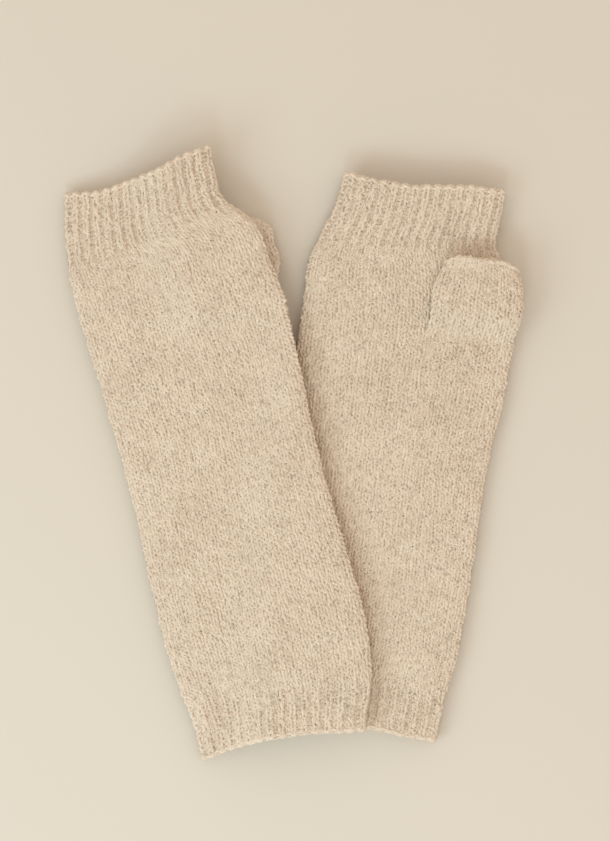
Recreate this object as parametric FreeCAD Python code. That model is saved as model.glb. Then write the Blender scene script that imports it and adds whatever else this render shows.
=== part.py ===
"""A pair of fingerless gloves (wrist warmers) lying flat, one across the other: FreeCAD solids in millimetres.

Each glove is one knitted tube: a ribbed cuff at the arm, a plain hand tube and a ribbed cuff at the fingers, with a
cast-on edge and a cast-off edge, and a short thumb sleeve knitted on round a slit in the palm. The right glove lies
palm up on the table, its thumb sleeve folded up over the palm. The left glove lies palm down, with its own thumb
sleeve under the palm and its inner side over the right glove.
X is right, +Y is towards the fingers, Z is up. The origin is the centre of the pair's plan, on the table.
"""

import FreeCAD, Part
import math
import os

# ---- driving dimensions, in mm ----
FABRIC = 2.0  # thickness of the plain knitting, two yarns deep
GAP = 0.4  # clearance between the two gloves and round each thumb sleeve
EDGE = 2.2  # length of a cast-on or cast-off round
FOLD = 2.6  # roundness of the side folds: 2 is an ellipse, more is squarer
LOW = 10.0  # height of the right glove where it lies pressed flat
AROUND = 32  # points round a section

RIGHT_AT = (47.5, -1.2)  # middle of the right glove
RIGHT_TURN = -7.7  # its fingers lean to +X, degrees
LEFT_AT = (-40.6, -1.6)
LEFT_TURN = 14.4

# Each station runs across the glove: left end (u, v), right end (u, v), height at the left, height at the right.
# u is across the glove, v is along it towards the fingers.
RIGHT_STATIONS = [
    ((-44.0, -136.5), (44.4, -138.0), LOW, LOW),  # arm mouth
    ((-44.6, -126.0), (45.0, -126.5), LOW, LOW),
    ((-45.6, -117.0), (45.9, -114.6), LOW, LOW),  # end of the arm rib
    ((-47.2, -95.0), (48.4, -95.0), LOW, LOW),
    ((-48.6, -50.0), (50.4, -50.0), LOW, LOW),
    ((-50.4, 0.0), (50.8, 0.0), LOW, LOW),
    ((-53.2, 50.0), (54.2, 50.0), LOW, LOW),
    ((-52.4, 80.0), (53.2, 80.0), LOW, LOW),
    ((-51.0, 95.0), (48.8, 97.0), LOW, LOW),
    ((-48.8, 102.8), (41.9, 109.4), 10.4, 10.4),  # start of the finger rib
    ((-43.4, 121.0), (41.2, 124.0), 13.0, 13.0),
    ((-41.2, 137.8), (41.2, 140.2), 16.0, 16.0),  # finger mouth
]

LEFT_STATIONS = [
    ((-42.8, -145.2), (42.4, -151.4), 10.0, 10.0),  # arm mouth
    ((-42.5, -132.0), (46.6, -139.4), 10.0, 10.0),
    ((-43.6, -118.6), (50.4, -128.4), 10.5, 10.5),  # end of the arm rib
    ((-46.0, -98.0), (54.8, -102.0), 10.5, 10.5),
    ((-46.2, -60.0), (54.2, -61.0), 10.5, 10.5),
    ((-44.8, -10.0), (53.0, -10.0), 10.5, 10.5),
    ((-45.6, 40.0), (55.2, 42.0), 10.5, 10.5),
    ((-47.6, 86.0), (53.0, 84.0), 10.5, 10.5),
    ((-47.0, 102.0), (48.6, 102.0), 10.5, 11.0),
    ((-46.2, 110.8), (39.8, 121.4), 9.5, 12.0),  # start of the finger rib
    ((-43.2, 130.0), (38.2, 135.8), 8.5, 14.0),
    ((-39.2, 146.2), (39.0, 149.6), 8.0, 16.0),  # finger mouth
]
ARM_RIB_END, FINGER_RIB_END = 2, 9  # stations of both gloves where the ribs end

# The slit in each palm, in its own glove's axes: left end u, right end u, v.
RIGHT_SLIT = (11.8, 56.2, 65.5)
LEFT_SLIT = (13.5, 58.2, 78.5)
SLIT_WIDE = 3.6  # width of the band of stitches picked up round the slit
SLIT_HOLE = 1.2  # width of the way through that band
SLIT_SHORT = 12.0  # how far the band stays back from the slit's right end, where the glove's fold begins

THUMB_WALL = 1.8
THUMB_HIGH = 8.4  # height of the flat-lying sleeve
THUMB_ROOT = 4.4  # height where it leaves the slit
THUMB_RISE = 7.4
# Each thumb station: left fold u, right fold u, v, height.
RIGHT_THUMB = [
    (12.8, 55.2, 65.9, THUMB_ROOT),
    (12.2, 55.8, 73.8, THUMB_RISE),
    (12.0, 56.2, 85.6, THUMB_HIGH),
    (13.4, 55.0, 95.5, THUMB_HIGH),
    (16.6, 51.0, 102.2, THUMB_HIGH),
]
LEFT_THUMB = [
    (14.5, 57.2, 78.9, THUMB_ROOT),
    (13.9, 58.0, 86.9, THUMB_RISE),
    (13.5, 57.6, 96.5, THUMB_HIGH),
    (13.8, 54.4, 106.0, THUMB_HIGH),
    (15.0, 48.4, 113.0, THUMB_HIGH),
    (16.6, 43.6, 117.0, THUMB_HIGH),
]

STEP = 22.0  # longest way between sections
RAMP = 24.0  # length over which the left glove climbs onto what lies under it
THUMB_RUN = 30.0  # how far before its thumb slit the left glove starts to climb
SLACK = 0.45  # height of the left glove's underside where nothing lies under it
TALL = 60.0  # height of the cutting prisms


def turned(at, turn, u, v):
    """A point of a glove's own axes, in the plan."""
    a = math.radians(turn)
    return at[0] + u * math.cos(a) - v * math.sin(a), at[1] + u * math.sin(a) + v * math.cos(a)


def own_axes(at, turn, x, y):
    """A point of the plan, in a glove's own axes."""
    a = math.radians(turn)
    dx, dy = x - at[0], y - at[1]
    return dx * math.cos(a) + dy * math.sin(a), dy * math.cos(a) - dx * math.sin(a)


def smooth(t):
    """0 to 1 with level ends."""
    t = min(1.0, max(0.0, t))
    return t * t * (3.0 - 2.0 * t)


def left_edge_of_right_glove(v):
    """u of the right glove's left fold at v."""
    folds = [s[0] for s in RIGHT_STATIONS]
    for (u0, v0), (u1, v1) in zip(folds, folds[1:]):
        if v <= v1:
            return u0 + (u1 - u0) * max(0.0, (v - v0) / (v1 - v0))
    return folds[-1][0]


def flat(x, y):
    """The table."""
    return 0.0


def over(x, y):
    """Height of the left glove's underside: over the right glove and over its own thumb sleeve."""
    ub, vb = own_axes(RIGHT_AT, RIGHT_TURN, x, y)
    inside = ub - left_edge_of_right_glove(vb)
    on_glove = (LOW + GAP) * smooth((inside + RAMP) / (RAMP + FABRIC))
    u, v = own_axes(LEFT_AT, LEFT_TURN, x, y)
    beside = smooth((u - LEFT_SLIT[0] + RAMP) / RAMP)
    along = smooth((v - LEFT_SLIT[2] + THUMB_RUN) / RAMP)
    on_thumb = (THUMB_HIGH + 2.2 * GAP) * beside * along
    return SLACK + (on_glove**4 + on_thumb**4) ** 0.25


def ring(left, right, high_left, high_right, base, lift, place, wall=0.0):
    """Points of a closed flattened section across a tube, standing on lift(x, y) + base, inset by wall."""
    cu, cv = (left[0] + right[0]) / 2.0, (left[1] + right[1]) / 2.0
    hu, hv = (right[0] - left[0]) / 2.0, (right[1] - left[1]) / 2.0
    inset = 1.0 - 1.1 * wall / math.hypot(hu, hv)
    points = []
    for k in range(AROUND):
        angle = 2.0 * math.pi * k / AROUND
        c, s = math.cos(angle), math.sin(angle)
        across = math.copysign(abs(c) ** (2.0 / FOLD), c)
        up = math.copysign(abs(s) ** (2.0 / FOLD), s)
        x, y = place(cu + hu * across * inset, cv + hv * across * inset)
        high = high_left + (high_right - high_left) * (1.0 + across) / 2.0
        z = lift(x, y) + base + high / 2.0 + up * (high / 2.0 - wall)
        points.append(FreeCAD.Vector(x, y, z))
    return points


def filled(stations):
    """The stations, with evenly spaced ones added wherever they are further apart than STEP."""
    full = [stations[0]]
    for a, b in zip(stations, stations[1:]):
        parts = math.ceil((b[0][1] - a[0][1]) / STEP)
        for k in range(1, parts):
            t = k / parts
            left = tuple(p + (q - p) * t for p, q in zip(a[0], b[0]))
            right = tuple(p + (q - p) * t for p, q in zip(a[1], b[1]))
            full.append((left, right, a[2] + (b[2] - a[2]) * t, a[3] + (b[3] - a[3]) * t))
        full.append(b)
    return full


def skin(rings):
    """A solid whose smooth side passes through every ring, with a flat cap at each end."""
    around = [float(k) for k in range(AROUND + 1)]
    along = [0.0]
    for before, after in zip(rings, rings[1:]):
        along.append(along[-1] + (after[AROUND // 4] - before[AROUND // 4]).Length)
    section_poles = []
    for points in rings:
        curve = Part.BSplineCurve()
        curve.interpolate(Points=points, PeriodicFlag=True, Parameters=around)
        section_poles.append(curve.getPoles())
    columns = []
    for k in range(len(section_poles[0])):
        line = Part.BSplineCurve()
        line.interpolate(Points=[poles[k] for poles in section_poles], Parameters=along)
        columns.append(line.getPoles())
    side = Part.BSplineSurface()
    side.buildFromPolesMultsKnots(
        [list(row) for row in zip(*columns)], line.getMultiplicities(), curve.getMultiplicities(),
        line.getKnots(), curve.getKnots(), False, True, line.Degree, curve.Degree)
    caps = [Part.Face(Part.Wire([side.uIso(u).toShape()])) for u in (along[0], along[-1])]
    shell = Part.makeShell([side.toShape()] + caps)
    shell.sewShape()
    solid = Part.Solid(Part.Shell(shell.Faces))
    if solid.Volume < 0:
        solid.reverse()
    return solid


def tube(stations, base, lift, place, wall):
    """A hollow tube through the stations, open at both ends."""
    outer = [ring(*s, base, lift, place) for s in stations]
    inner = [ring(*s, base, lift, place, wall) for s in stations]
    return skin(outer).cut(skin(inner))


def prism(corners, low, high):
    """An upright prism over a plan outline."""
    points = [FreeCAD.Vector(x, y, low) for x, y in corners]
    face = Part.Face(Part.makePolygon(points + points[:1]))
    return face.extrude(FreeCAD.Vector(0, 0, high - low))


def between(line_a, line_b, place):
    """A prism between two lines across a glove, wider than the glove."""
    corners = []
    for (u0, v0), (u1, v1) in (line_a, line_b):
        du, dv = (u1 - u0) * 0.4, (v1 - v0) * 0.4
        corners.append([place(u0 - du, v0 - dv), place(u1 + du, v1 + dv)])
    return prism([corners[0][0], corners[0][1], corners[1][1], corners[1][0]], -TALL, TALL)


def shifted(line, distance):
    """A line across a glove moved along it."""
    return tuple((u, v + distance) for u, v in line)


def slot(slit, wide, place, low, high):
    """An upright prism with round ends, along the slit."""
    r = wide / 2.0
    u0, u1, v = slit[0] + r, slit[1] - r - SLIT_SHORT, slit[2]
    corners = []
    for cu, start in ((u1, -90.0), (u0, 90.0)):
        for step in range(9):
            a = math.radians(start + 22.5 * step)
            corners.append(place(cu + r * math.cos(a), v + r * math.sin(a)))
    return prism(corners, low, high)


def biggest(shape):
    """The one solid of a cut."""
    return max(shape.Solids, key=lambda s: s.Volume)


def write(name, shape):
    solid = biggest(shape)
    solid.exportStep("parts/%s.step" % name)
    box = solid.optimalBoundingBox(False)
    print("%-22s %7.1f %7.1f %7.1f  at %7.1f %7.1f %6.2f  %s" % (
        name, box.XLength, box.YLength, box.ZLength, box.XMin, box.YMin, box.ZMin, solid.isValid()))
    return solid


def whole_glove(side, stations, lift, place, slit, palm_up):
    """The five rounds of pieces along one glove, and the band round its thumb slit."""
    whole = tube(filled(stations), 0.0, lift, place, FABRIC)
    lines = [(s[0], s[1]) for s in stations]
    arm, fingers = lines[0], lines[-1]
    cuts = [
        ("arm_cast_on", shifted(arm, -EDGE), shifted(arm, EDGE)),
        ("arm_cuff", shifted(arm, EDGE), lines[ARM_RIB_END]),
        ("hand_tube", lines[ARM_RIB_END], lines[FINGER_RIB_END]),
        ("finger_cuff", lines[FINGER_RIB_END], shifted(fingers, -EDGE)),
        ("finger_cast_off", shifted(fingers, -EDGE), shifted(fingers, EDGE)),
    ]
    pieces = {}
    for name, near, far in cuts:
        pieces[name] = biggest(whole.common(between(near, far, place)))

    x, y = place((slit[0] + slit[1]) / 2.0, slit[2])
    middle = lift(x, y) + LOW / 2.0
    low, high = (middle, TALL) if palm_up else (-TALL, middle)
    band = slot(slit, SLIT_WIDE, place, low, high)
    hole = slot(slit, SLIT_HOLE, place, low, high)
    pieces["thumb_join"] = biggest(pieces["hand_tube"].common(band).cut(hole))
    pieces["hand_tube"] = biggest(pieces["hand_tube"].cut(band))
    for name, shape in pieces.items():
        write("%s_%s" % (side, name), shape)


def thumb(side, stations, place, bed, palm_up):
    """The sleeve, lying along the palm from the slit towards the fingers; bed is the level where it meets the palm."""
    full = [((a, v), (b, v), high, high) for a, b, v, high in stations]
    outer, inner = [], []
    for station in full:
        base = bed if palm_up else bed - station[2]
        outer.append(ring(*station, base, flat, place))
        inner.append(ring(*station, base, flat, place, THUMB_WALL))
    sleeve = skin(outer).cut(skin(inner))
    root, mouth = full[0][:2], full[-1][:2]
    lip = shifted(mouth, -EDGE)
    write("%s_thumb_sleeve" % side, sleeve.common(between(shifted(root, -TALL), lip, place)))
    write("%s_thumb_cast_off" % side, sleeve.common(between(lip, shifted(mouth, EDGE), place)))


def right_place(u, v):
    return turned(RIGHT_AT, RIGHT_TURN, u, v)


def left_place(u, v):
    return turned(LEFT_AT, LEFT_TURN, u, v)


os.makedirs("parts", exist_ok=True)
whole_glove("right", RIGHT_STATIONS, flat, right_place, RIGHT_SLIT, True)
whole_glove("left", LEFT_STATIONS, over, left_place, LEFT_SLIT, False)
thumb("right", RIGHT_THUMB, right_place, LOW + 0.1 + GAP, True)
thumb("left", LEFT_THUMB, left_place, THUMB_HIGH + GAP, False)
for slit, place in ((RIGHT_SLIT, right_place), (LEFT_SLIT, left_place)):
    print("hinge line at %.2f %.2f" % place((slit[0] + slit[1]) / 2.0, slit[2]))
for at, turn, stations, lift in ((RIGHT_AT, RIGHT_TURN, RIGHT_STATIONS, flat), (LEFT_AT, LEFT_TURN, LEFT_STATIONS, over)):
    left, right, high, _ = stations[0]
    x, y = turned(at, turn, (left[0] + right[0]) / 2.0, (left[1] + right[1]) / 2.0)
    print("arm mouth at %.2f %.2f %.2f" % (x, y, lift(x, y) + high / 2.0))
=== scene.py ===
# %% [markdown]
# # A pair of knitted fingerless gloves
# Each glove is one knitted tube with a ribbed cuff at either end and a short sleeve for the thumb. The
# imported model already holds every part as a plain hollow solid; here each one gets its real surface, which
# is yarn, stitch by stitch.

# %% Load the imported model
import math
import bpy
import numpy as np
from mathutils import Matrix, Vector


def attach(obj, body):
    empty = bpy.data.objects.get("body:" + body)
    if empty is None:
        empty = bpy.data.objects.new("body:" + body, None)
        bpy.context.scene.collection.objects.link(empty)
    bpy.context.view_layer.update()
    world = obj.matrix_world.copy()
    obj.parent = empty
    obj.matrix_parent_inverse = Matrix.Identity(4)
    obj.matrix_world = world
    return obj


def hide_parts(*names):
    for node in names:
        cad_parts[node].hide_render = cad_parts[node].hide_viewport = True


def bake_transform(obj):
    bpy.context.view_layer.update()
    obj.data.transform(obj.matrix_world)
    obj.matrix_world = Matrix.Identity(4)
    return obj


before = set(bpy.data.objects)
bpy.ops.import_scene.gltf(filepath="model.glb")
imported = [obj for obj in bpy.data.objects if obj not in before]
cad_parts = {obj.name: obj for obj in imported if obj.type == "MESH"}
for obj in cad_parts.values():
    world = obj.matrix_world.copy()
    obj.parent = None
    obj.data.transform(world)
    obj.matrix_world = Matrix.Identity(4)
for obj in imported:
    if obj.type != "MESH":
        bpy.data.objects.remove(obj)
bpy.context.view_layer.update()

# %% [markdown]
# ## The form of a glove
# A glove lying flat is a tube pressed nearly flat. A few lines across it say how wide and how high it is
# along its length; each line holds its left end, its right end, both in millimetres in the glove's own
# axes, and the height of the tube at each end. Every stitch finds its place from these, so the knitting
# keeps to the solid part's shape and adds what a solid leaves out: each mouth dips a few millimetres
# between its ends. A dip is listed as pairs, the share of the mouth's width from -1 to 1 and the
# millimetres there.
#
# The thumb sleeves have lines of their own: left fold, right fold, distance along the glove, and height.
# `slit` is the thumb's opening in the palm, `bed` the height of the palm that the sleeve lies on, and
# `palm_wales` the wales of the palm that run on into the sleeve.

# %% Lines across each glove, in mm: left end, right end, height at the left, height at the right
MM = 0.001
FOLD = 2.6  # how full a flattened tube is: 2 is an ellipse, more is squarer
RIGHT = dict(
    name="right", at=(47.5, -1.2), turn=-7.7,
    lines=[
        ((-44.0, -136.5), (44.4, -138.0), 10.0, 10.0),
        ((-44.6, -126.0), (45.0, -126.5), 10.0, 10.0),
        ((-45.6, -117.0), (45.9, -114.6), 10.0, 10.0),
        ((-47.2, -95.0), (48.4, -95.0), 10.0, 10.0),
        ((-48.6, -50.0), (50.4, -50.0), 10.0, 10.0),
        ((-50.4, 0.0), (50.8, 0.0), 10.0, 10.0),
        ((-53.2, 50.0), (55.2, 50.0), 10.0, 10.0),
        ((-53.2, 80.0), (54.2, 80.0), 10.0, 10.0),
        ((-52.6, 95.0), (48.8, 97.0), 10.0, 10.0),
        ((-49.6, 102.8), (41.9, 109.4), 10.4, 10.4),
        ((-43.4, 121.0), (41.2, 124.0), 13.0, 13.0),
        ((-41.2, 137.8), (41.2, 140.2), 16.0, 16.0),
    ],
    arm_dip=[(-1.0, 1.5), (-0.4, 2.8), (0.2, 2.4), (0.6, 1.2), (1.0, 0.4)],
    finger_dip=[(-1.0, 1.2), (-0.8, 2.8), (-0.5, 4.4), (-0.2, 5.0), (0.2, 3.6), (0.6, 2.4), (1.0, 2.4)],
    slit=(11.8, 56.2, 65.5), bed=10.5, palm_wales=(18, 31),
    thumb=[
        (12.4, 56.4, 65.9, 4.4),
        (11.0, 56.8, 73.8, 7.4),
        (10.4, 56.6, 85.6, 8.4),
        (13.0, 54.4, 95.5, 8.4),
        (16.0, 50.6, 102.2, 8.4),
    ])
LEFT = dict(
    name="left", at=(-40.6, -1.6), turn=14.4,
    lines=[
        ((-42.8, -145.2), (42.4, -151.4), 10.0, 10.0),
        ((-42.5, -132.0), (46.6, -139.4), 10.0, 10.0),
        ((-43.6, -118.6), (50.4, -128.4), 10.5, 10.5),
        ((-46.0, -98.0), (54.8, -102.0), 10.5, 10.5),
        ((-46.2, -60.0), (54.2, -61.0), 10.5, 10.5),
        ((-44.8, -10.0), (53.0, -10.0), 10.5, 10.5),
        ((-45.6, 40.0), (55.2, 42.0), 10.5, 10.5),
        ((-47.5, 88.0), (53.9, 87.0), 10.5, 10.5),
        ((-46.9, 104.0), (49.0, 110.0), 10.3, 11.4),
        ((-46.2, 110.8), (41.2, 120.0), 9.5, 12.0),
        ((-43.2, 130.0), (38.2, 135.8), 8.5, 14.0),
        ((-39.2, 146.2), (39.0, 149.6), 8.0, 16.0),
    ],
    arm_dip=[(-1.0, 0.0), (-0.77, 2.6), (-0.5, 5.2), (-0.25, 6.4), (0.1, 6.4), (0.4, 5.4), (0.7, 3.6),
             (1.0, 2.0)],
    finger_dip=[(-1.0, 1.6), (-0.75, 4.0), (-0.5, 5.8), (-0.2, 5.2), (0.05, 5.6), (0.32, 4.8), (0.6, 2.4),
                (1.0, 1.8)],
    slit=(13.5, 58.2, 78.5), bed=8.8, palm_wales=(44, 31),
    thumb=[
        (14.5, 57.2, 78.9, 4.4),
        (13.9, 58.0, 86.9, 7.4),
        (13.5, 57.6, 96.5, 8.4),
        (13.8, 57.0, 105.4, 8.4),
        (15.0, 50.4, 111.0, 8.4),
        (16.6, 42.4, 114.2, 8.4),
    ])
ARM_RIB_LINE, FINGER_RIB_LINE = 2, 9  # the lines where the ribs meet the plain part


# %% Smooth curves through the lines, and turning a glove's own axes into the plan
def through(x, xs, ys):
    """A smooth curve through the points (xs, ys), read at x."""
    x, xs, ys = np.asarray(x, float), np.asarray(xs, float), np.asarray(ys, float)
    slope = np.gradient(ys, xs, axis=0)
    k = np.clip(np.searchsorted(xs, x, side="right") - 1, 0, len(xs) - 2)
    wide = xs[k + 1] - xs[k]
    t = (x - xs[k]) / wide
    if ys.ndim > 1:
        t, wide = t[:, None], wide[:, None]
    return ((2 * t**3 - 3 * t**2 + 1) * ys[k] + (t**3 - 2 * t**2 + t) * wide * slope[k]
            + (3 * t**2 - 2 * t**3) * ys[k + 1] + (t**3 - t**2) * wide * slope[k + 1])


def smooth(t):
    t = np.clip(t, 0.0, 1.0)
    return t * t * (3.0 - 2.0 * t)


def in_plan(glove, u, v):
    a = math.radians(glove["turn"])
    x0, y0 = glove["at"]
    return x0 + u * math.cos(a) - v * math.sin(a), y0 + u * math.sin(a) + v * math.cos(a)


def own_axes(glove, x, y):
    a = math.radians(glove["turn"])
    dx, dy = x - glove["at"][0], y - glove["at"][1]
    return dx * math.cos(a) + dy * math.sin(a), dy * math.cos(a) - dx * math.sin(a)


# %% [markdown]
# The right glove lies on the table. The left one lies over it and over its own thumb sleeve, so its
# underside climbs from the table onto each of them.

# %% What lies under each glove
THUMB_HIGH, PALM_HIGH, GAP = 8.4, 10.0, 0.4
RAMP = 24.0  # width of the slope where the left glove climbs
THUMB_RUN = 30.0  # how far before the slit it starts to climb onto its own thumb sleeve
SLACK = 0.45


def right_glove_edge(v):
    folds = np.array([line[0] for line in RIGHT["lines"]])
    return np.interp(v, folds[:, 1], folds[:, 0])


def underside(glove, x, y):
    """Height of the glove's underside, in mm, at points of the plan."""
    if glove is RIGHT:
        return np.zeros_like(x)
    ub, vb = own_axes(RIGHT, x, y)
    on_glove = (PALM_HIGH + GAP) * smooth((ub - right_glove_edge(vb) + RAMP) / (RAMP + 2.0))
    u, v = own_axes(LEFT, x, y)
    thumb_left, _, slit = LEFT["slit"]
    on_thumb = ((THUMB_HIGH + 2.2 * GAP) * smooth((u - thumb_left + RAMP) / RAMP)
                * smooth((v - slit + THUMB_RUN) / RAMP))
    return SLACK + (on_glove**4 + on_thumb**4) ** 0.25


# %% [markdown]
# ## Counting the stitches
# Knitting is a grid: wales run along the tube and rows run round it. Sixty-two wales go round, half on the
# upper side and half on the lower. The cuffs are one by one rib, a knit wale and a purl wale in turn; the
# rest is plain.

# %% Stitch counts, and each line's place counted in rows
WALES = 62
HALF = WALES // 2
WALE_WIDE, ROW_HIGH = 3.2, 2.1  # mm, one stitch
ARM_ROWS, PLAIN_ROWS, FINGER_ROWS = 11, 106, 15
ROWS = ARM_ROWS + PLAIN_ROWS + FINGER_ROWS
FABRIC_MIDDLE = 1.3  # mm from the outer face to the middle of the knitting
SPARE = 2  # rows of form kept past each mouth
GRAIN = 4  # points of the form for each wale
DIP_ROWS = 24  # how far from a mouth its dip fades out


def rows_of_lines(glove):
    """The row number at each line across the glove."""
    middle = np.array([(a[1] + b[1]) / 2 for a, b, _, _ in glove["lines"]])
    marks = [0, ARM_RIB_LINE, FINGER_RIB_LINE, len(middle) - 1]
    counts = [0, ARM_ROWS, ARM_ROWS + PLAIN_ROWS, ROWS]
    return np.interp(middle, middle[marks], counts)


def wander(x, y, size, seed):
    """A slow uneven field, about -1 to 1, with bumps some `size` mm across."""
    rng = np.random.default_rng(seed)
    total = np.zeros_like(x)
    for _ in range(7):
        a, b = rng.normal(0, 1 / size, 2)
        total = total + np.sin(2 * math.pi * (a * x + b * y) * 0.6 + rng.uniform(0, 7))
    return total / 3.5


# %% Rings round a tube, with equal steps from wale to wale
def equal_steps(points, count):
    """Points resampled to equal steps along each row."""
    step = np.linalg.norm(np.diff(points, axis=1), axis=2)
    run = np.concatenate([np.zeros((len(points), 1)), np.cumsum(step, axis=1)], axis=1)
    out = np.empty((len(points), count + 1, 3))
    for k, (line, at) in enumerate(zip(points, run)):
        want = np.linspace(0, at[-1], count + 1)
        for axis in range(3):
            out[k, :, axis] = np.interp(want, at, line[:, axis])
    return out


def ring_grid(glove, left, right, low, high_left, high_right, inset, wales, pulls=()):
    """Flattened rings from the left fold over the top to the right fold, and back underneath, in metres."""
    theta = np.linspace(math.pi, -math.pi, 401)
    across = np.sign(np.cos(theta)) * np.abs(np.cos(theta)) ** (2 / FOLD)
    up = np.sign(np.sin(theta)) * np.abs(np.sin(theta)) ** (2 / FOLD)
    middle, half = (left + right) / 2, (right - left) / 2
    keep = 1 - 1.1 * inset / np.linalg.norm(half, axis=1)
    u = middle[:, 0, None] + half[:, 0, None] * across * keep[:, None]
    v = middle[:, 1, None] + half[:, 1, None] * across * keep[:, None]
    for dip, amount in pulls:
        v = v + amount[:, None] * through(across, *np.array(glove[dip]).T)
    x, y = in_plan(glove, u, v)
    high = high_left[:, None] + (high_right - high_left)[:, None] * (1 + across) / 2
    z = low(x, y) + high / 2 + up * (high / 2 - inset)
    rings = np.stack([x, y, z], axis=2)
    top = equal_steps(rings[:, :201], wales // 2 * GRAIN)
    under = equal_steps(rings[:, 200:], wales // 2 * GRAIN)
    return np.concatenate([top, under[:, 1:]], axis=1) * MM


class Form:
    """A tube's middle surface: point and outward direction at any (wale, row)."""

    def __init__(self, grid, first_row):
        self.grid, self.first = grid, first_row
        wrapped = np.concatenate([grid[:, -2:-1], grid, grid[:, 1:2]], axis=1)
        along = np.gradient(grid, axis=0)
        out = np.cross(wrapped[:, 2:] - wrapped[:, :-2], along)
        self.out = out / np.maximum(np.linalg.norm(out, axis=2, keepdims=True), 1e-12)
        self.along = along / np.linalg.norm(along, axis=2, keepdims=True)

    def read(self, table, wale, row):
        columns = self.grid.shape[1] - 1
        a = np.mod(wale * GRAIN, columns)
        r = np.clip((row - self.first) * 2, 0, len(table) - 1.001)
        i, j = np.floor(r).astype(int), np.floor(a).astype(int)
        fr, fa = (r - i)[..., None], (a - j)[..., None]
        near = table[i, j] * (1 - fa) + table[i, j + 1] * fa
        far = table[i + 1, j] * (1 - fa) + table[i + 1, j + 1] * fa
        return near * (1 - fr) + far * fr

    def at(self, wale, row, rise=0.0):
        """Points at (wale, row), `rise` metres outside the knitting's middle, and the outward directions."""
        out = self.read(self.out, wale, row)
        out /= np.linalg.norm(out, axis=-1, keepdims=True)
        return self.read(self.grid, wale, row) + out * np.asarray(rise)[..., None], out


# %% The two gloves' forms
UNEVEN_FOLD = 0.35  # mm that the side folds wander in and out


def glove_form(glove, seed):
    lines = glove["lines"]
    at = rows_of_lines(glove)
    row = np.arange(-SPARE, ROWS + SPARE + 0.5, 0.5)
    left = through(row, at, [line[0] for line in lines])
    right = through(row, at, [line[1] for line in lines])
    left[:, 0] += UNEVEN_FOLD * wander(row * ROW_HIGH, row * 0, 14, seed)
    right[:, 0] += UNEVEN_FOLD * wander(row * ROW_HIGH, row * 0, 13, seed + 1)
    high_left = through(row, at, [line[2] for line in lines])
    high_right = through(row, at, [line[3] for line in lines])
    grid = ring_grid(glove, left, right, lambda x, y: underside(glove, x, y), high_left, high_right,
                     FABRIC_MIDDLE, WALES, [("arm_dip", smooth((DIP_ROWS - row) / DIP_ROWS)),
                                            ("finger_dip", -smooth((row - ROWS + DIP_ROWS) / DIP_ROWS))])
    return Form(grid, -SPARE)


right_form = glove_form(RIGHT, 5)
left_form = glove_form(LEFT, 7)
print("form grids", right_form.grid.shape, left_form.grid.shape)

# %% [markdown]
# ## Yarn
# Each row of knitting is one yarn that goes up and down through loops. From above, a loop's two legs show
# as a V and its head lies behind the next row's legs. A whole row can be drawn as one curve: it steps
# sideways wale by wale, swings up and down the height of a loop, and dips behind at each head and foot.
# Modelling one stitch by hand and copying it would leave a join between copies on every curved part, so the
# rows are swept along the form directly.

# %% Sweep round yarns along paths
def mesh_object(name, points, quads, triangles, uv):
    mesh = bpy.data.meshes.new(name)
    corners = np.concatenate([quads.ravel(), triangles.ravel()]).astype(np.int32)
    starts = np.concatenate([np.arange(len(quads)) * 4, len(quads) * 4 + np.arange(len(triangles)) * 3])
    mesh.vertices.add(len(points))
    mesh.vertices.foreach_set("co", points.astype(np.float32).ravel())
    mesh.loops.add(len(corners))
    mesh.loops.foreach_set("vertex_index", corners)
    mesh.polygons.add(len(starts))
    mesh.polygons.foreach_set("loop_start", starts.astype(np.int32))
    mesh.polygons.foreach_set("use_smooth", np.ones(len(starts), bool))
    layer = mesh.uv_layers.new(name="yarn")
    layer.data.foreach_set("uv", uv.astype(np.float32).ravel())
    mesh.update(calc_edges=True)
    mesh.validate()
    piece = bpy.data.objects.new(name, mesh)
    bpy.context.scene.collection.objects.link(piece)
    return piece


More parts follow.
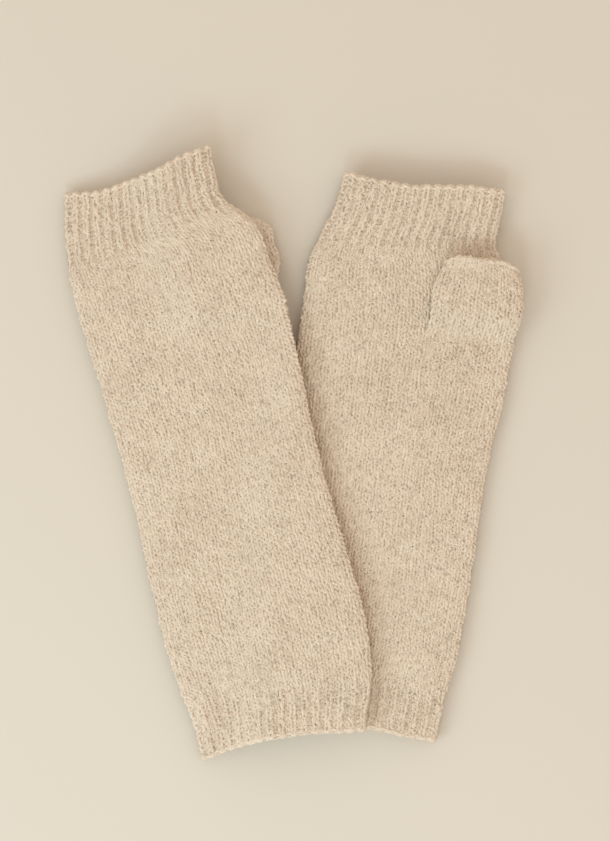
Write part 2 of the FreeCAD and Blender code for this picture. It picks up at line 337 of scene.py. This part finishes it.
def sweep(name, path, out, radius, sides=5, closed=False, step_length=1.0):
    """Yarns of one mesh: path, out and radius are for each yarn and each point along it."""
    path[..., 2] = np.maximum(path[..., 2], radius)  # yarn rests on the table and never sinks into it
    if closed:
        tangent = np.roll(path, -1, axis=1) - np.roll(path, 1, axis=1)
    else:
        tangent = np.gradient(path, axis=1)
    tangent /= np.linalg.norm(tangent, axis=2, keepdims=True)
    side = np.cross(tangent, out)
    side /= np.linalg.norm(side, axis=2, keepdims=True)
    face = np.cross(side, tangent)
    turn = 2 * math.pi * np.arange(sides) / sides
    points = (path[:, :, None] + radius[:, :, None, None]
              * (np.cos(turn)[:, None] * face[:, :, None] + np.sin(turn)[:, None] * side[:, :, None]))
    yarns, steps = path.shape[:2]
    index = np.arange(yarns * steps * sides).reshape(yarns, steps, sides)
    after = np.roll(index, -1, axis=1) if closed else index[:, 1:]
    here = index if closed else index[:, :-1]
    quads = np.stack([here, after, np.roll(after, -1, axis=2), np.roll(here, -1, axis=2)], axis=3)
    run = np.arange(here.shape[1], dtype=float)[None, :, None] * step_length
    around = np.arange(sides, dtype=float)[None, None, :] / sides
    run = np.broadcast_to(run, here.shape)
    around = np.broadcast_to(around, here.shape)
    on, wrap = run + step_length, around + 1 / sides
    uv = np.stack([np.stack([run, around], -1), np.stack([on, around], -1),
                   np.stack([on, wrap], -1), np.stack([run, wrap], -1)], axis=3).reshape(-1, 2)
    caps = np.zeros((0, 3), int)
    if not closed:
        first, last = index[:, 0], index[:, -1]
        for k in range(1, sides - 1):
            caps = np.concatenate([caps, np.stack([first[:, 0], first[:, k], first[:, k + 1]], axis=1),
                                   np.stack([last[:, 0], last[:, k + 1], last[:, k]], axis=1)])
        uv = np.concatenate([uv, np.zeros((len(caps) * 3, 2))])
    return mesh_object(name, points.reshape(-1, 3), quads.reshape(-1, 4), caps, uv)


# %% A row of loops
POINTS = 7  # points along each stitch
LEAN = 0.24  # how far a loop's shoulders stand out, in wales
LOOP = 0.80  # half a loop's height, in rows
DEPTH = 0.26 * MM  # how far the legs stand in front of the heads
YARN = 0.95 * MM  # the yarn's radius
RIB_SHARE = 0.34  # how much wider a knit wale of the rib is than a purl one
RIDGE, VALLEY = 0.2 * MM, -0.95 * MM  # where the knit and the purl wales of a rib lie
ARM_RIB = 0.75  # how deep the arm cuff's rib is beside the finger cuff's


def rib_amount(row):
    """1 in the finger cuff, less in the arm cuff and 0 in the plain part, changing over one row."""
    return ARM_RIB * smooth((ARM_ROWS + 1 - row) / 1.5) + smooth((row - ROWS + FINGER_ROWS + 1) / 1.5)


def plain(row):
    return 0 * row


def ridge(wale):
    """1 on a knit wale of the rib and 0 on a purl one."""
    return 0.5 + 0.5 * np.cos(math.pi * wale)


def relief(rib, wale, row):
    """How far the knitting stands out from the form's middle, in metres, because of the rib."""
    return rib(row) * (VALLEY + (RIDGE - VALLEY) * smooth(1.5 * ridge(wale) - 0.22))


def knit(name, form, first_row, last_row, first_wale, last_wale, seed, rib=rib_amount, lift=None):
    """The rows first_row to last_row, from wale to wale, as swept yarns."""
    rng = np.random.default_rng(seed)
    rows = np.arange(first_row, last_row)
    wales = last_wale - first_wale
    steps = wales * POINTS + 1
    t = np.linspace(0, 2 * math.pi * wales, steps)
    stitch = np.minimum(np.arange(steps) // POINTS, wales - 1)

    def uneven(amount):
        return 1 + amount * rng.normal(size=(len(rows), wales))[:, stitch]

    wale = first_wale + t / (2 * math.pi) + LEAN * uneven(0.16) * np.sin(2 * t) + 0.07 * (uneven(1) - 1)
    row = rows[:, None] + 0.5 + LOOP * uneven(0.08) * np.cos(t)
    wale = wale + 0.06 * rng.normal(size=wale.shape)
    row = row + 0.12 * rng.normal(size=row.shape)
    ribbed, face = rib(row), ridge(wale)
    front = -DEPTH * uneven(0.4) * np.cos(2 * t)
    rise = front * (1 + ribbed * (2 * face - 2)) + relief(rib, wale, row)
    x, y = wale * WALE_WIDE, row * ROW_HIGH
    rise = rise + 0.12 * MM * (wander(x, y, 5, seed + 1) + rng.normal(size=rise.shape))
    if lift is not None:
        rise = rise + lift(wale, row)
    wale = wale + ribbed * RIB_SHARE * np.sin(math.pi * wale) / math.pi
    path, out = form.at(wale, row, rise)
    x = wale * WALE_WIDE
    radius = YARN * (1 + 0.10 * wander(x, y, 2.5, seed + 2) + 0.12 * rng.normal(size=wale.shape))
    return sweep(name, path, out, radius, step_length=1 / POINTS)


# %% The knitting of both gloves
panels = {"right": [], "left": []}
for glove, form, seed in ((RIGHT, right_form, 100), (LEFT, left_form, 200)):
    name = glove["name"]
    upper, lower = ("palm", "back") if glove is RIGHT else ("back", "palm")
    middle = ARM_ROWS + PLAIN_ROWS // 2
    top_rows = ARM_ROWS + PLAIN_ROWS
    parts = [
        ("arm_rib", 0, ARM_ROWS, 0, WALES, "arm_cuff", "rib_knit"),
        (upper + "_wrist", ARM_ROWS, middle, 0, HALF, "hand_tube", "plain_knit"),
        (upper + "_hand", middle, top_rows, 0, HALF, "hand_tube", "plain_knit"),
        (lower + "_wrist", ARM_ROWS, middle, HALF, WALES, "hand_tube", "plain_knit"),
        (lower + "_hand", middle, top_rows, HALF, WALES, "hand_tube", "plain_knit"),
        ("finger_rib", top_rows, ROWS, 0, WALES, "finger_cuff", "rib_knit"),
    ]
    for k, (part, r0, r1, w0, w1, node, slot) in enumerate(parts):
        piece = knit("%s_%s" % (name, part), form, r0, r1, w0, w1, seed + 10 * k)
        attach(piece, name + "_glove")
        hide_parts("%s_%s" % (name, node))
        panels[name].append(piece)
        print(piece.name, len(piece.data.polygons), "faces")

# %% [markdown]
# ## Thumb sleeves
# A thumb sleeve is knitted on round a slit in the palm, beside the fold. Its outer half is the palm's own
# wales carried on: below the slit they are the palm, and past it they rise off the palm and turn round into
# the sleeve. So the sleeve's form starts as a stretch of the palm's form and blends into flattened rings
# over a few rows. Its last rows curl outwards, as a plain knitted edge does.

# %% The sleeves' forms and knitting
THUMB_WALES = 26
ROOT_ROWS = 3  # rows of palm that the sleeve repeats before the slit
BLEND_ROWS = 7.0  # rows over which the palm's form turns into the sleeve's
BURIED = 0.5 * MM  # how far the repeated rows lie inside the palm's own
CURL = 1.5 * MM  # how far the sleeve's mouth rolls outwards
THUMB_INSET = 1.1  # mm from the sleeve's outer face to the middle of its knitting


def middles(glove):
    """How far along the glove the middle of each line is."""
    return [(a[1] + b[1]) / 2 for a, b, _, _ in glove["lines"]]


def palm_row(glove, v):
    return float(np.interp(v, middles(glove), rows_of_lines(glove)))


def direction(glove):
    """The way the fingers point."""
    a = math.radians(glove["turn"])
    return np.array([-math.sin(a), math.cos(a), 0])


def thumb_form(glove, hand):
    lines = glove["thumb"]
    start = int(round(palm_row(glove, glove["slit"][2]))) - ROOT_ROWS
    v_start = float(np.interp(start, rows_of_lines(glove), middles(glove)))
    rows = int(round((lines[-1][2] - v_start) / ROW_HIGH))
    row = np.arange(-SPARE, rows + SPARE + 0.5, 0.5)
    v = v_start + (lines[-1][2] - v_start) * row / rows
    at = np.clip(v, lines[0][2], lines[-1][2] + 3)
    along = [line[2] for line in lines]
    left, right, high = (through(at, along, [line[k] for line in lines]) for k in (0, 1, 3))
    high = np.maximum(2.8, high * smooth((row + 5) / 9))
    low = glove["bed"] - (0 if glove is RIGHT else 1) * high
    sleeve = ring_grid(glove, np.stack([left, v], 1), np.stack([right, v], 1),
                       lambda x, y: low[:, None] + 0 * x, high, high, THUMB_INSET, THUMB_WALES)

    half = THUMB_WALES // 2 * GRAIN
    # The mouth's corners are rounded back towards the palm, and its edge is a little wavy.
    around = np.arange(2 * half + 1)
    beside_fold = np.abs(2 * around / half % 2 - 1) ** 5
    back = 3.0 * beside_fold + 0.5 * wander(around * 0.8, 0, 7, 11)
    back = back * smooth((row[:, None] - rows + 5) / 5)
    sleeve = sleeve - MM * back[..., None] * direction(glove)

    w0, w1 = glove["palm_wales"]
    outer = w0 + (w1 - w0) * np.arange(half + 1) / half
    sunk = BURIED * (1 + 1.2 * np.sin(math.pi * np.arange(half + 1) / half))
    held_row = start + np.minimum(row, ROOT_ROWS + 2)
    shown, _ = hand.at(outer[None] + 0 * row[:, None], (start + row)[:, None] + 0 * outer[None],
                       -BURIED + 0 * outer)
    hidden, _ = hand.at(outer[None] + 0 * row[:, None], held_row[:, None] + 0 * outer[None], -sunk)
    if glove is RIGHT:
        root = np.concatenate([shown, hidden[:, ::-1][:, 1:]], axis=1)
    else:
        root = np.concatenate([hidden, shown[:, ::-1][:, 1:]], axis=1)
    free = smooth((row - 0.5) / BLEND_ROWS)[:, None, None]
    return Form(root * (1 - free) + sleeve * free, -SPARE), rows


thumb_forms = {}
for glove, form, seed in ((RIGHT, right_form, 300), (LEFT, left_form, 400)):
    name = glove["name"]
    sleeve, rows = thumb_form(glove, form)
    thumb_forms[name] = (sleeve, rows)

    def curl(wale, row):
        return CURL * smooth((row - rows + 3) / 3) * (1 + 0.6 * wander(wale * WALE_WIDE, row * 0, 9, seed))

    piece = knit(name + "_thumb_knit", sleeve, 0, rows, 0, THUMB_WALES, seed, rib=plain, lift=curl)
    panels[name].append(piece)
    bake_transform(piece)
    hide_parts(name + "_thumb_sleeve")
    print(piece.name, rows, "rows,", len(piece.data.polygons), "faces")

# %% [markdown]
# ## Cast-on and cast-off edges
# A knitted edge ends in a chain: each link passes through the one before. One link is an oval loop, tipped
# so that its front end lies over the next link and its back end under the last. On a ribbed cuff the chain
# follows the rib in and out and stands further up on each knit wale, which makes the edge softly scalloped.

# %% The chains round each mouth
LINK = 12  # points round one link


def chain(name, form, wales, row, outward, seed, rib, lift):
    rng = np.random.default_rng(seed)
    t = np.arange(LINK) * 2 * math.pi / LINK
    middle = np.arange(wales)[:, None] + 0.5
    wale = middle + (0.80 + 0.06 * rng.normal(size=(wales, 1))) * np.cos(t)
    row = np.full(wale.shape, float(row))
    base, out = form.at(wale + rib(row) * RIB_SHARE * np.sin(math.pi * wale) / math.pi, row,
                        relief(rib, wale, row) + lift)
    along = outward * form.read(form.along, wale, row)
    tip, across = (along + out) / math.sqrt(2), (out - along) / math.sqrt(2)
    wide = (0.62 + 0.08 * rng.normal(size=(wales, 1))) * MM
    reach = (-0.5 + 1.1 * ridge(wale) * rib(row) + 0.15 * rng.normal(size=(wales, 1))) * MM
    path = (base + along * reach[..., None] + across * (wide * np.sin(t))[..., None]
            - tip * (0.35 * MM * np.cos(t))[..., None])
    radius = YARN * (0.95 + 0.08 * rng.normal(size=wale.shape))
    return sweep(name, path, tip, radius, closed=True, step_length=1 / LINK)


for glove, form, seed in ((RIGHT, right_form, 500), (LEFT, left_form, 600)):
    name = glove["name"]
    for edge, row, outward, node in (("cast_on_edge", 0, -1, "arm_cast_on"),
                                     ("cast_off_edge", ROWS, 1, "finger_cast_off")):
        piece = chain("%s_%s" % (name, edge), form, WALES, row, outward, seed + row, rib_amount, 0)
        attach(piece, name + "_glove")
        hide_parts("%s_%s" % (name, node))
        panels[name].append(piece)
    sleeve, rows = thumb_forms[name]
    piece = chain(name + "_thumb_edge", sleeve, THUMB_WALES, rows, 1, seed + 5, plain, CURL)
    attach(piece, name + "_thumb")
    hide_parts(name + "_thumb_cast_off")
    panels[name].append(piece)

# %% [markdown]
# ## Loose fibres
# Soft spun yarn is never clean: short fibres stand out of it everywhere and give the knitting its haze. The
# long ones here are thin bent threads that start inside a yarn and lean off it. The short ones are straight
# needles of four faces, so that there can be a great many of them.

# %% The haze of fibres
FIBRES, FLUFF = 7500, 46000  # on each glove
THUMB_SHARE = 14  # a thumb sleeve has one for every so many of the glove's


def roots(form, wales, rows, count, rng, rib):
    """Random places on the legs of the loops, the ways out there, and the ways the fibres lean."""
    wale = rng.integers(0, 2 * wales, count) / 2 + 0.1 * rng.normal(size=count)
    row = rng.uniform(0.1, rows - 0.1, count)
    base, out = form.at(wale + rib(row) * RIB_SHARE * np.sin(math.pi * wale) / math.pi, row,
                        relief(rib, wale, row) + 0.5 * MM)
    along = form.read(form.along, wale, row)
    angle = (rng.normal(0.5, 0.22, count) + rng.integers(0, 2, count))[:, None] * math.pi
    return base, out, np.cos(angle) * along + np.sin(angle) * np.cross(along, out)


def fibres(name, form, wales, rows, count, seed, rib):
    rng = np.random.default_rng(seed)
    base, out, lean = roots(form, wales, rows, count, rng, rib)
    bend = rng.normal(0, 0.7, count)[:, None] * np.cross(out, lean)
    long = rng.uniform(0.9, 2.0, count)[:, None] * MM
    rise = rng.uniform(0.35, 1.0, count)[:, None] * MM
    path = np.stack([base, base + lean * long + out * rise, base + (lean * 1.9 + bend) * long
                     + out * rise * rng.uniform(0.6, 1.7, count)[:, None]], axis=1)
    radius = np.outer(rng.uniform(0.035, 0.055, count) * MM, [1, 1, 0.5])
    across = np.repeat(np.cross(lean, out)[:, None], 3, axis=1)
    return sweep(name, path, across, radius, sides=3)


def fluff(name, form, wales, rows, count, seed, rib):
    rng = np.random.default_rng(seed)
    base, out, lean = roots(form, wales, rows, count, rng, rib)
    side = np.cross(lean, out)
    thick = rng.uniform(0.07, 0.12, count)[:, None] * MM
    long = rng.uniform(0.7, 1.5, count)[:, None] * MM
    rise = rng.uniform(0.15, 0.5, count)[:, None] * MM
    points = np.stack([base + side * thick, base - side * thick * 0.5 + out * thick * 0.9,
                       base - side * thick * 0.5 - out * thick * 0.9,
                       base + lean * long + out * rise], axis=1)
    points[..., 2] = np.maximum(points[..., 2], 0.02 * MM)
    corner = np.arange(count)[:, None, None] * 4 + np.array([[0, 1, 2], [0, 3, 1], [1, 3, 2], [2, 3, 0]])
    uv = np.tile([[0, 0], [0.5, 0.5], [1, 0]], (count * 4, 1))
    return mesh_object(name, points.reshape(-1, 3), np.zeros((0, 4), int), corner.reshape(-1, 3), uv)


for glove, form, seed in ((RIGHT, right_form, 700), (LEFT, left_form, 800)):
    name = glove["name"]
    sleeve, rows = thumb_forms[name]
    for make, kind, count in ((fibres, "fibres", FIBRES), (fluff, "fluff", FLUFF)):
        piece = make("%s_%s" % (name, kind), form, WALES, ROWS, count, seed, rib_amount)
        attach(piece, name + "_glove")
        panels[name].append(piece)
        piece = make("%s_thumb_%s" % (name, kind), sleeve, THUMB_WALES, rows, count // THUMB_SHARE,
                     seed + 1, plain)
        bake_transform(piece)
        panels[name].append(piece)
    print(name, "fibres and fluff", FIBRES, FLUFF)

# %% [markdown]
# ## The ground of the knitting
# Between the loops of real knitting the eye meets the back of other loops, never daylight. A thin cloth
# inside the yarn does that job. It is a flat grid, rolled onto the form and closed along one fold, then
# given its thickness. Its flat size is once round the tube by its length.
# The cloth stands in for the back of the other loops, and its cream is darker than the yarn's: painted shade
# for the shadow that lies between the stitches.

# %% Ground cloths
GROUND_OUT, GROUND_THICK = 0.2 * MM, 0.5 * MM
LIP = 0.25  # rows that the ground ends before each mouth


def ground(name, form, wales, rows, rib):
    bpy.ops.object.select_all(action="DESELECT")
    bpy.ops.mesh.primitive_grid_add(x_subdivisions=wales * 2, y_subdivisions=rows // 2, size=1)
    cloth = bpy.context.object
    cloth.name = cloth.data.name = name
    flat = np.empty(len(cloth.data.vertices) * 3, np.float32)
    cloth.data.vertices.foreach_get("co", flat)
    flat = flat.reshape(-1, 3) + 0.5
    wale = flat[:, 0] * wales
    row = LIP + flat[:, 1] * (rows - 2 * LIP)
    points, _ = form.at(wale + rib(row) * RIB_SHARE * np.sin(math.pi * wale) / math.pi, row,
                        relief(rib, wale, row) + GROUND_OUT)
    cloth.data.vertices.foreach_set("co", points.astype(np.float32).ravel())
    bpy.ops.object.mode_set(mode="EDIT")
    bpy.ops.mesh.select_all(action="SELECT")
    bpy.ops.mesh.remove_doubles(threshold=1e-5)
    bpy.ops.mesh.normals_make_consistent(inside=False)
    bpy.ops.object.mode_set(mode="OBJECT")
    bpy.ops.object.shade_smooth()
    wall = cloth.modifiers.new("wall", "SOLIDIFY")
    wall.thickness = GROUND_THICK
    wall.offset = -1
    bpy.ops.object.modifier_apply(modifier="wall")
    return cloth


grounds = []
for glove, form in ((RIGHT, right_form), (LEFT, left_form)):
    name = glove["name"]
    cloth = ground(name + "_glove_ground", form, WALES, ROWS, rib_amount)
    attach(cloth, name + "_glove")
    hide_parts(name + "_hand_tube", name + "_thumb_join")
    grounds.append(cloth)
    sleeve, rows = thumb_forms[name]
    cloth = ground(name + "_thumb_ground", sleeve, THUMB_WALES, rows, plain)
    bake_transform(cloth)
    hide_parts(name + "_thumb_sleeve")
    grounds.append(cloth)
print("ground cloths", [cloth.name for cloth in grounds])

# %% [markdown]
# ## Cream yarn
# The yarn is an undyed cream with fibres of slightly different shades, so its colour is a fine noise
# between two creams over a slow one. Three plies twist round each other, which is a wave that climbs round
# the yarn as it runs along, read from the yarn's own map, and the loose surface is a finer noise. Both go
# to the bump. Sheen gives the soft pale rim that short fibres catch.

# %% Cream yarn
PLIES, TWIST = 3, 2.4  # plies round the yarn, and turns of them in one stitch


def yarn_material(name, dark, light, plies):
    material = bpy.data.materials.new(name)
    material.use_nodes = True
    nodes, links = material.node_tree.nodes, material.node_tree.links
    shader = nodes["Principled BSDF"]
    shader.inputs["Roughness"].default_value = 0.9
    shader.inputs["Sheen Weight"].default_value = 0.3
    shader.inputs["Sheen Roughness"].default_value = 0.5
    shader.inputs["Sheen Tint"].default_value = (1.0, 0.95, 0.88, 1)
    shader.inputs["Specular IOR Level"].default_value = 0.15
    place = nodes.new("ShaderNodeTexCoord")

    def noise(scale, detail):
        node = nodes.new("ShaderNodeTexNoise")
        node.inputs["Scale"].default_value = scale
        node.inputs["Detail"].default_value = detail
        node.inputs["Roughness"].default_value = 0.65
        links.new(place.outputs["Object"], node.inputs["Vector"])
        return node.outputs["Fac"]

    def sum_of(a, b, share):
        node = nodes.new("ShaderNodeMath")
        node.operation = "MULTIPLY_ADD"
        links.new(b, node.inputs[0])
        node.inputs[1].default_value = share
        links.new(a, node.inputs[2])
        return node.outputs[0]

    shade = sum_of(noise(1900, 1), noise(60, 2), 0.25)
    ramp = nodes.new("ShaderNodeValToRGB")
    ramp.color_ramp.elements[0].position = 0.50
    ramp.color_ramp.elements[0].color = (*dark, 1)
    ramp.color_ramp.elements[1].position = 0.76
    ramp.color_ramp.elements[1].color = (*light, 1)
    links.new(shade, ramp.inputs["Fac"])
    links.new(ramp.outputs["Color"], shader.inputs["Base Color"])

    height = noise(2600, 1)
    if plies:
        uv = nodes.new("ShaderNodeUVMap")
        uv.uv_map = "yarn"
        climb = nodes.new("ShaderNodeVectorMath")
        climb.operation = "DOT_PRODUCT"
        climb.inputs[1].default_value = (2 * math.pi * TWIST, 2 * math.pi * PLIES, 0)
        links.new(uv.outputs["UV"], climb.inputs[0])
        wave = nodes.new("ShaderNodeMath")
        wave.operation = "SINE"
        links.new(climb.outputs["Value"], wave.inputs[0])
        height = sum_of(height, wave.outputs[0], 0.35)
    bump = nodes.new("ShaderNodeBump")
    bump.inputs["Strength"].default_value = 0.55
    bump.inputs["Distance"].default_value = 0.22 * MM
    links.new(height, bump.inputs["Height"])
    links.new(bump.outputs["Normal"], shader.inputs["Normal"])
    return material


cream_yarn = yarn_material("cream_yarn", (0.665, 0.522, 0.388), (0.86, 0.727, 0.57), True)
# The ground's two creams are darker than the yarn's two: painted shade for the shadow between the stitches,
# not a different yarn.
ground_cream_painted_shade = yarn_material("ground_cream_painted_shade", (0.60, 0.47, 0.34), (0.72, 0.585, 0.44), False)
for name in panels:
    for piece in panels[name]:
        piece.data.materials.append(cream_yarn)
for piece in grounds:
    piece.data.materials.append(ground_cream_painted_shade)

# %% [markdown]
# ## Table, light and view
# The gloves lie on pale paper in a bright room. Most of the light comes from all round, warm from the
# walls; two windows add a cooler light from the left and from the arm's side, so the soft shadows fall warm
# at the fingers.

# %% Floor, light and camera
bpy.ops.object.select_all(action="DESELECT")
bpy.ops.mesh.primitive_plane_add(size=12.0)
floor = bpy.context.object
floor.name = "floor"
paper = bpy.data.materials.new("pale_paper")
paper.use_nodes = True
paper.node_tree.nodes["Principled BSDF"].inputs["Base Color"].default_value = (0.69, 0.62, 0.515, 1)
paper.node_tree.nodes["Principled BSDF"].inputs["Roughness"].default_value = 0.9
floor.data.materials.append(paper)

world = bpy.data.worlds.new("soft_room")
bpy.context.scene.world = world
world.use_nodes = True
world.node_tree.nodes["Background"].inputs["Color"].default_value = (1.0, 0.915, 0.83, 1)
world.node_tree.nodes["Background"].inputs["Strength"].default_value = 0.90


def lamp(name, size, energy, place, aim):
    light = bpy.data.lights.new(name, "AREA")
    light.shape = "DISK"
    light.size = size
    light.energy = energy
    light.color = (0.60, 0.85, 1.0)
    holder = bpy.data.objects.new(name, light)
    holder.location = place
    holder.rotation_euler = (Vector(aim) - Vector(place)).to_track_quat("-Z", "Y").to_euler()
    bpy.context.scene.collection.objects.link(holder)


lamp("window", 0.45, 4.5, (-0.2, -1.12, 1.13), (0, 0, 0))
lamp("side_window", 0.8, 6.1, (-0.95, -0.65, 0.9), (0, 0, 0))

camera = bpy.data.objects.new("camera", bpy.data.cameras.new("camera"))
camera.data.lens = 85
camera.data.sensor_width = 36
camera.data.clip_start = 0.01
camera.location = (0.0061, 0.0166, 1.000)
camera.rotation_euler = (0, 0, 0)
bpy.context.scene.collection.objects.link(camera)
bpy.context.scene.camera = camera
bpy.context.scene.view_settings.view_transform = "Standard"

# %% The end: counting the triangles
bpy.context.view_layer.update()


pieces = panels["right"] + panels["left"] + grounds
print("triangles", sum(len(p.vertices) - 2 for o in pieces for p in o.data.polygons))
